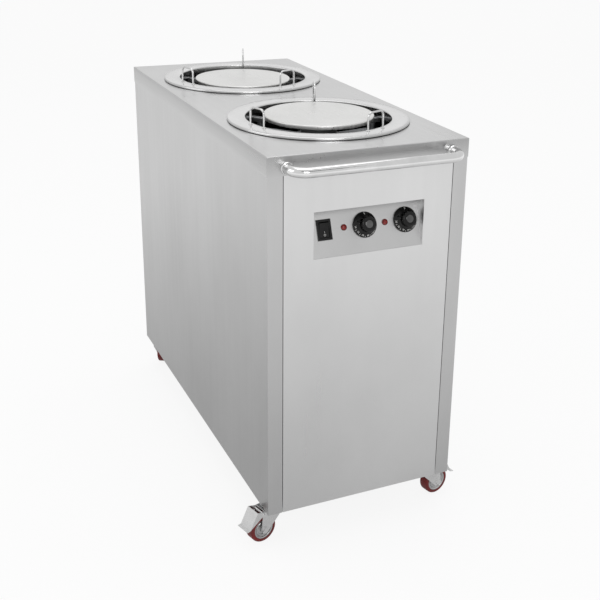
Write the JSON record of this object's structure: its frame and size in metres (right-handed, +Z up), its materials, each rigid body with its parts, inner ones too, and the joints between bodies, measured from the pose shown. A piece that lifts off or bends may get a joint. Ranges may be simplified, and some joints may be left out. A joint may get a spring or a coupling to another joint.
{
  "type": "heated plate dispenser",
  "caption": "Free-standing stainless heated plate dispenser on casters: sprung platforms in round heated wells, push handle and a control recess at one end.",
  "frame": {"origin": "on the floor under the middle of the cabinet", "axes": "+Z up, +Y from the control end to the rear, +X to the right seen from the control end"},
  "size_m": [0.5513, 1.086, 0.9354],
  "materials": {
    "cabinet_steel": "fine brushed stainless sheet",
    "well_steel": "plain drawn sheet, dulled by heat",
    "ring_steel": "pressed and polished stainless",
    "wire_chrome": "bright drawn wire",
    "handle_chrome": "polished stainless tube",
    "platform_steel": "turned satin disc",
    "frame_steel": "galvanised sections",
    "spring_steel": "oiled spring wire",
    "heater_sheath": "oxidised element sheath",
    "black_plastic": "moulded black plastic",
    "knob_black": "moulded glossy black",
    "lamp_red": "faceted red lens",
    "lamp_white": "white moulded body",
    "ceramic_white": "glazed terminal ceramic",
    "pin_brass": "plain brass",
    "loom_grey": "sleeved cable loom",
    "caster_zinc": "zinc-plated pressed steel",
    "tread_red": "cast polyurethane tread",
    "hub_grey": "moulded grey wheel centre",
    "screw_steel": "plated screw"
  },
  "bodies": {
    "cabinet": {"top_panel": "cabinet_steel", "left_side_panel": "cabinet_steel", "right_side_panel": "cabinet_steel", "front_panel": "cabinet_steel", "rear_panel": "cabinet_steel", "base_pan": "frame_steel", "corner_posts": "frame_steel", "well_rails": "frame_steel", "heater_clips": "frame_steel", "sensor_bulbs": "pin_brass", "control_fascia": "cabinet_steel", "switch_housing": "black_plastic", "indicator_lamps": "lamp_red", "lamp_bodies": "lamp_white", "thermostats": "lamp_white", "push_handle": "handle_chrome", "handle_collars": "handle_chrome", "power_inlet": "black_plastic", "inlet_pins": "pin_brass", "terminal_block": "ceramic_white", "wiring_loom": "loom_grey", "panel_screws": "screw_steel", "caster_plates": "caster_zinc", "front_well_tube": "well_steel", "rear_well_tube": "well_steel", "front_ring": "ring_steel", "rear_ring": "ring_steel", "front_springs": "spring_steel", "rear_springs": "spring_steel", "well_floors": "well_steel", "heater_elements": "heater_sheath", "guide_rods": "spring_steel", "rod_clips": "frame_steel", "guide_wires": "wire_chrome", "guide_eyelets": "wire_chrome"},
    "front_lift": {"front_platform": "platform_steel", "front_carrier": "frame_steel"},
    "rear_lift": {"rear_platform": "platform_steel", "rear_carrier": "frame_steel"},
    "left_dial": {"left_knob": "knob_black"},
    "right_dial": {"right_knob": "knob_black"},
    "rocker": {"switch_rocker": "black_plastic"},
    "front_left_swivel": {"front_left_fork": "caster_zinc", "front_left_axle": "screw_steel"},
    "front_left_wheel": {"front_left_hub": "hub_grey", "front_left_tread": "tread_red"},
    "front_left_pedal": {"front_left_brake": "caster_zinc"},
    "front_right_swivel": {"front_right_fork": "caster_zinc", "front_right_axle": "screw_steel"},
    "front_right_wheel": {"front_right_hub": "hub_grey", "front_right_tread": "tread_red"},
    "front_right_pedal": {"front_right_brake": "caster_zinc"},
    "rear_left_swivel": {"rear_left_fork": "caster_zinc", "rear_left_axle": "screw_steel"},
    "rear_left_wheel": {"rear_left_hub": "hub_grey", "rear_left_tread": "tread_red"},
    "rear_right_swivel": {"rear_right_fork": "caster_zinc", "rear_right_axle": "screw_steel"},
    "rear_right_wheel": {"rear_right_hub": "hub_grey", "rear_right_tread": "tread_red"}
  },
  "joints": [
    {"name": "front_platform_lift", "type": "slide", "parent": "cabinet", "child": "front_lift", "axis": [0, 0, 1], "range_m": [-0.45, 0], "stiffness_N_per_m": 620, "springref_m": 0.06, "deforming": ["front_springs"]},
    {"name": "rear_platform_lift", "type": "slide", "parent": "cabinet", "child": "rear_lift", "axis": [0, 0, 1], "range_m": [-0.45, 0], "stiffness_N_per_m": 620, "springref_m": 0.06, "deforming": ["rear_springs"]},
    {"name": "left_knob_turn", "type": "hinge", "parent": "cabinet", "child": "left_dial", "pos_m": [-0.002, -0.47723, 0.7188], "axis": [0, 0.9348, -0.3552], "range_deg": [0, 270]},
    {"name": "right_knob_turn", "type": "hinge", "parent": "cabinet", "child": "right_dial", "pos_m": [0.092, -0.47723, 0.7188], "axis": [0, 0.9348, -0.3552], "range_deg": [0, 270]},
    {"name": "rocker_tilt", "type": "hinge", "parent": "cabinet", "child": "rocker", "pos_m": [-0.093, -0.47443, 0.71774], "axis": [1, 0, 0], "range_deg": [-16, 0]},
    {"name": "front_left_swivel_turn", "type": "hinge", "parent": "cabinet", "child": "front_left_swivel", "pos_m": [-0.192, -0.444, 0.06], "axis": [0, 0, 1], "continuous": true},
    {"name": "front_left_wheel_roll", "type": "hinge", "parent": "front_left_swivel", "child": "front_left_wheel", "pos_m": [-0.22388, -0.45254, 0.0325], "axis": [0.2588, -0.9659, 0], "continuous": true},
    {"name": "front_left_brake_press", "type": "hinge", "parent": "front_left_swivel", "child": "front_left_pedal", "pos_m": [-0.22677, -0.45332, 0.073], "axis": [0.2588, -0.9659, 0], "range_deg": [0, 6]},
    {"name": "front_right_swivel_turn", "type": "hinge", "parent": "cabinet", "child": "front_right_swivel", "pos_m": [0.192, -0.444, 0.06], "axis": [0, 0, 1], "continuous": true},
    {"name": "front_right_wheel_roll", "type": "hinge", "parent": "front_right_swivel", "child": "front_right_wheel", "pos_m": [0.22428, -0.43714, 0.0325], "axis": [-0.2079, 0.9781, 0], "continuous": true},
    {"name": "front_right_brake_press", "type": "hinge", "parent": "front_right_swivel", "child": "front_right_pedal", "pos_m": [0.22721, -0.43652, 0.073], "axis": [-0.2079, 0.9781, 0], "range_deg": [0, 6]},
    {"name": "rear_left_swivel_turn", "type": "hinge", "parent": "cabinet", "child": "rear_left_swivel", "pos_m": [-0.192, 0.466, 0.06], "axis": [0, 0, 1], "continuous": true},
    {"name": "rear_left_wheel_roll", "type": "hinge", "parent": "rear_left_swivel", "child": "rear_left_wheel", "pos_m": [-0.1755, 0.49458, 0.0325], "axis": [-0.866, 0.5, 0], "continuous": true},
    {"name": "rear_right_swivel_turn", "type": "hinge", "parent": "cabinet", "child": "rear_right_swivel", "pos_m": [0.192, 0.466, 0.06], "axis": [0, 0, 1], "continuous": true},
    {"name": "rear_right_wheel_roll", "type": "hinge", "parent": "rear_right_swivel", "child": "rear_right_wheel", "pos_m": [0.21728, 0.48721, 0.0325], "axis": [-0.6428, 0.766, 0], "continuous": true}
  ]
}
